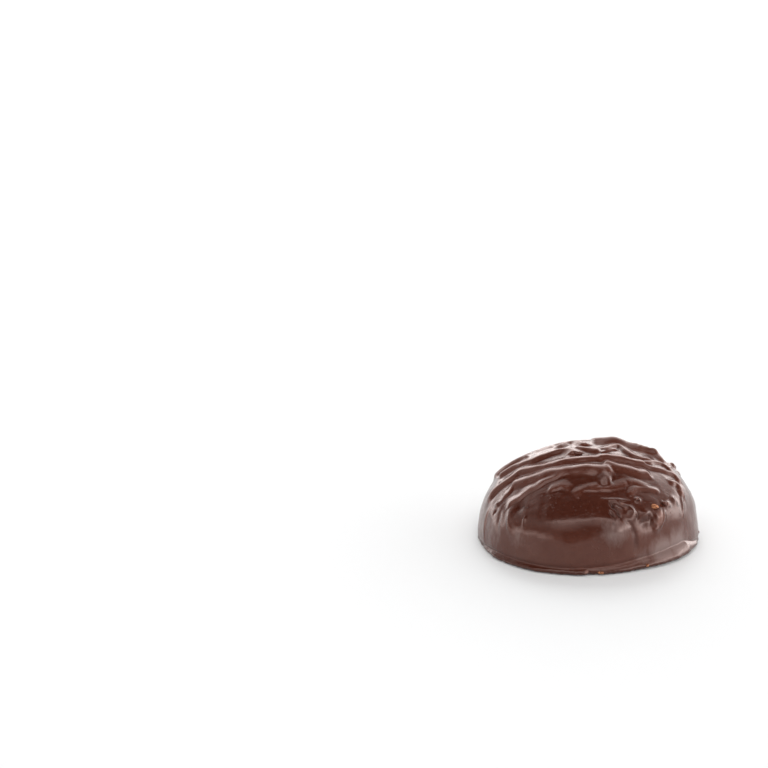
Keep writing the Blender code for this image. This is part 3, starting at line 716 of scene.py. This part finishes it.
def dark_chocolate():
    """Satin chocolate: clouded brown, with a highlight painted paler on the crests of the ridges and
    on some spots, painted shade in the valleys, the cracks and along the bottom edge, a streaky greyish
    painted sheen, unevenly polished, with fine flow lines and specks.
    """
    shader = Shader("dark_chocolate")
    surface = shader.surface
    surface.inputs["IOR"].default_value = COATING_IOR
    surface.inputs["Specular IOR Level"].default_value = SHEEN_LEVEL
    surface.inputs["Specular Tint"].default_value = SHEEN_TINT
    clouds = shader.noise(CLOUD_SIZE, detail=4.0)
    color = shader.mix(shader.span(clouds, *CLOUD_EDGES), CHOCOLATE, CHOCOLATE_PALE)
    ragged = shader.math("MULTIPLY", shader.noise(RAGGED_SIZE), RAGGED_SHARE)
    # Painted shade in the valleys, the cracks and along the bottom edge.
    relief = shader.math("ADD", shader.attribute("relief"), ragged)
    color = shader.mix(shader.span(relief, *PAINTED_SHADE_DEPTHS), color, CHOCOLATE_PAINTED_SHADE)
    # A greyish sheen painted on in streaks.
    streaks = shader.noise(STREAK_SIZE, detail=5.0, roughness=0.6, stretch=STREAK_STRETCH)
    painted_sheen = shader.math("ADD", shader.attribute("painted_sheen"), streaks)
    color = shader.mix(shader.span(painted_sheen, *PAINTED_SHEEN_EDGES), color, CHOCOLATE_PAINTED_SHEEN)
    # A highlight painted paler on the crests and at the paler spots.
    crest_highlight_and_pale_spots = shader.math("ADD", shader.attribute("crest_highlight_and_pale_spots"), ragged)
    color = shader.mix(shader.span(crest_highlight_and_pale_spots, *PAINTED_HIGHLIGHT_EDGES), color, CHOCOLATE_PAINTED_HIGHLIGHT)
    shader.join(color, surface.inputs["Base Color"])
    polish = shader.ramp(shader.noise(POLISH_SIZE, detail=4.0, roughness=0.6), POLISH)
    raised = shader.span(shader.attribute("relief"), *RAISED_EDGES)
    dull = shader.math("ADD", polish, shader.math("MULTIPLY", raised, RIDGE_DULLNESS))
    highlight_mask = shader.math("MULTIPLY", shader.attribute("crest_highlight_and_pale_spots"), CREST_DULLNESS)
    shader.join(shader.math("ADD", dull, highlight_mask), surface.inputs["Roughness"])
    flow = shader.noise(FLOW_SIZE, stretch=FLOW_STRETCH, distortion=FLOW_SWIRL)
    grain = shader.noise(GRAIN_SIZE, detail=2.0)
    gathered = shader.math("MULTIPLY", shader.noise(GATHERED_SIZE), GATHERED_SHARE)
    specks = shader.math("ADD", shader.noise(SPECK_SIZE, detail=1.0), gathered)
    normal = shader.bump(flow, FLOW_DEPTH)
    normal = shader.bump(grain, GRAIN_DEPTH, under=normal)
    normal = shader.bump(shader.span(specks, *SPECK_EDGES), SPECK_DEPTH, under=normal)
    shader.join(normal, surface.inputs["Normal"])
    return shader.material


def bare_crumb():
    """Baked shortbread: rough, tan with browner patches."""
    shader = Shader("bare_crumb")
    surface = shader.surface
    surface.inputs["Roughness"].default_value = CRUMB_DULLNESS
    toast = shader.span(shader.noise(TOAST_SIZE, detail=4.0), *TOAST_EDGES)
    shader.join(shader.mix(toast, CRUMB_TAN, CRUMB_BROWN), surface.inputs["Base Color"])
    grain = shader.noise(CRUMB_GRAIN_SIZE, detail=4.0)
    shader.join(shader.bump(grain, CRUMB_GRAIN_DEPTH), surface.inputs["Normal"])
    return shader.material


# ---------------------------------------------------------------- stage, light and camera

CAMERA_DISTANCE = 1.0  # from the centre of the foot
CAMERA_ELEVATION = 20.59  # degrees, of the line of sight to the centre of the foot
PICTURE = 768.0
FOOT_PIXEL = (585.2, 535.2)  # where the picture shows the centre of the foot
FOCAL_PIXELS = 4211.5
SENSOR = 36.0
CLIP_START = 0.01

FLOOR_RADIUS = 3.0
FLOOR_SIDES = 96
FLOOR_ROUGHNESS = 0.8
FLOOR = (0.64, 0.688, 0.703, 1.0)
FLOOR_GLOW = 0.10


def make_floor():
    bpy.ops.mesh.primitive_circle_add(vertices=FLOOR_SIDES, radius=FLOOR_RADIUS, fill_type="NGON")
    floor = bpy.context.object
    floor.name = "floor"
    material = bpy.data.materials.new("white_surface")
    material.use_nodes = True
    surface = material.node_tree.nodes["Principled BSDF"]
    surface.inputs["Base Color"].default_value = FLOOR
    surface.inputs["Roughness"].default_value = FLOOR_ROUGHNESS
    surface.inputs["Emission Color"].default_value = (1, 1, 1, 1)
    surface.inputs["Emission Strength"].default_value = FLOOR_GLOW
    floor.data.materials.append(material)


SKY_TINT = (1.0, 0.93, 0.91, 1.0)  # warm light, which the floor's own colour makes neutral again

# The surroundings, by how far their direction is swung over from level behind the biscuit (0 degrees)
# by way of overhead (90) to level in front (180): a low strip of light and a narrow high one behind
# it, a dark ceiling, and a broad strip over its front.
SKY_BY_SWING = (
    (0, 3.7),
    (16, 4.3),
    (28, 2.4),
    (42, 0.9),
    (48, 1.3),
    (56, 1.3),
    (60, 0.0),
    (96, 0.0),
    (101, 4.2),
    (107, 3.0),
    (116, 1.9),
    (130, 1.5),
    (146, 0.9),
    (160, 0.1),
    (180, 0.0),
)
# Walls at the sides take over from it by the sine of the angle to the side. They are this bright by
# the sine of the height above level.
SIDE_SHARE = ((0.0, 0.0), (0.42, 0.0), (0.68, 1.0), (1.0, 1.0))
LEFT_WALL = ((0.0, 4.0), (0.15, 2.4), (0.33, 0.2), (0.60, 0.8), (1.0, 1.0))
RIGHT_WALL = ((0.0, 3.6), (0.15, 6.0), (0.36, 2.0), (0.52, 0.6), (1.0, 0.6))

# A soft light from above, whose own reflection a polarising filter would take out.
TOP_LIGHT_PLACE = (0.0, 0.85, 0.8)
TOP_LIGHT_SIZE = 0.5
TOP_LIGHT_WATTS = 3.8


def light_along(nodes, coordinate, stops):
    """The light through these (coordinate, light) stops."""
    low, high = stops[0][0], stops[-1][0]
    scaled = [((position - low) / (high - low), light) for position, light in stops]
    return nodes.ramp(nodes.span(coordinate, low, high), scaled)


def make_sky():
    """The surroundings: strips of light by the direction's swing over the biscuit, and two walls."""
    world = bpy.data.worlds.new("studio")
    bpy.context.scene.world = world
    world.use_nodes = True
    nodes = Nodes(world.node_tree)
    split = nodes.add("ShaderNodeSeparateXYZ")
    nodes.join(nodes.add("ShaderNodeTexCoord").outputs["Generated"], split.inputs[0])
    to_side, to_back, up = split.outputs
    height = nodes.math("MAXIMUM", up, 0.0)
    swing = nodes.math("DEGREES", nodes.math("ARCTAN2", height, to_back))
    overhead = light_along(nodes, swing, SKY_BY_SWING)
    share = light_along(nodes, nodes.math("ABSOLUTE", to_side), SIDE_SHARE)
    left, right = light_along(nodes, height, LEFT_WALL), light_along(nodes, height, RIGHT_WALL)
    side = nodes.mix(nodes.math("GREATER_THAN", to_side, 0.0), left, right, kind="FLOAT")
    light = nodes.mix(share, overhead, side, kind="FLOAT")
    background = nodes.tree.nodes["Background"]
    nodes.join(light, background.inputs["Strength"])
    background.inputs["Color"].default_value = SKY_TINT


def make_top_light():
    light = bpy.data.lights.new("top_light", "AREA")
    light.size = TOP_LIGHT_SIZE
    light.energy = TOP_LIGHT_WATTS
    lamp = bpy.data.objects.new("top_light", light)
    bpy.context.scene.collection.objects.link(lamp)
    lamp.location = TOP_LIGHT_PLACE
    lamp.rotation_euler = Vector(TOP_LIGHT_PLACE).to_track_quat("Z", "Y").to_euler()
    lamp.visible_glossy = False


def make_camera():
    """A camera that shows the centre of the foot at its pixel, looking level round and tilted down."""
    across = (FOOT_PIXEL[0] - PICTURE / 2) / FOCAL_PIXELS
    down = (FOOT_PIXEL[1] - PICTURE / 2) / FOCAL_PIXELS
    # Tilted by the pitch, the camera sees the foot along (across, -down, -1), which falls below the
    # horizon by the elevation: down * cos(pitch) + sin(pitch) = sin(elevation) * length.
    length = math.sqrt(1 + across**2 + down**2)
    pitch = math.asin(math.sin(math.radians(CAMERA_ELEVATION)) * length / math.hypot(1, down))
    pitch -= math.atan(down)
    turn = Matrix.Rotation(math.pi / 2 - pitch, 4, "X")
    sight = turn @ Vector((across, -down, -1.0)).normalized()
    data = bpy.data.cameras.new("camera")
    data.sensor_width = SENSOR
    data.lens = FOCAL_PIXELS * SENSOR / PICTURE
    data.clip_start = CLIP_START
    camera = bpy.data.objects.new("camera", data)
    bpy.context.scene.collection.objects.link(camera)
    camera.matrix_world = Matrix.Translation(-CAMERA_DISTANCE * sight) @ turn
    bpy.context.scene.camera = camera


def main():
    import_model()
    make_camera()
    chocolate = dark_chocolate()
    make_coating(chocolate)
    make_crumbs("coated_crumbs", COATED_CRUMBS, chocolate, SEED + 40)
    make_crumbs("bare_crumbs", BARE_CRUMBS, bare_crumb(), SEED + 80)
    make_floor()
    make_sky()
    make_top_light()
    bpy.context.scene.view_settings.view_transform = "Standard"


main()
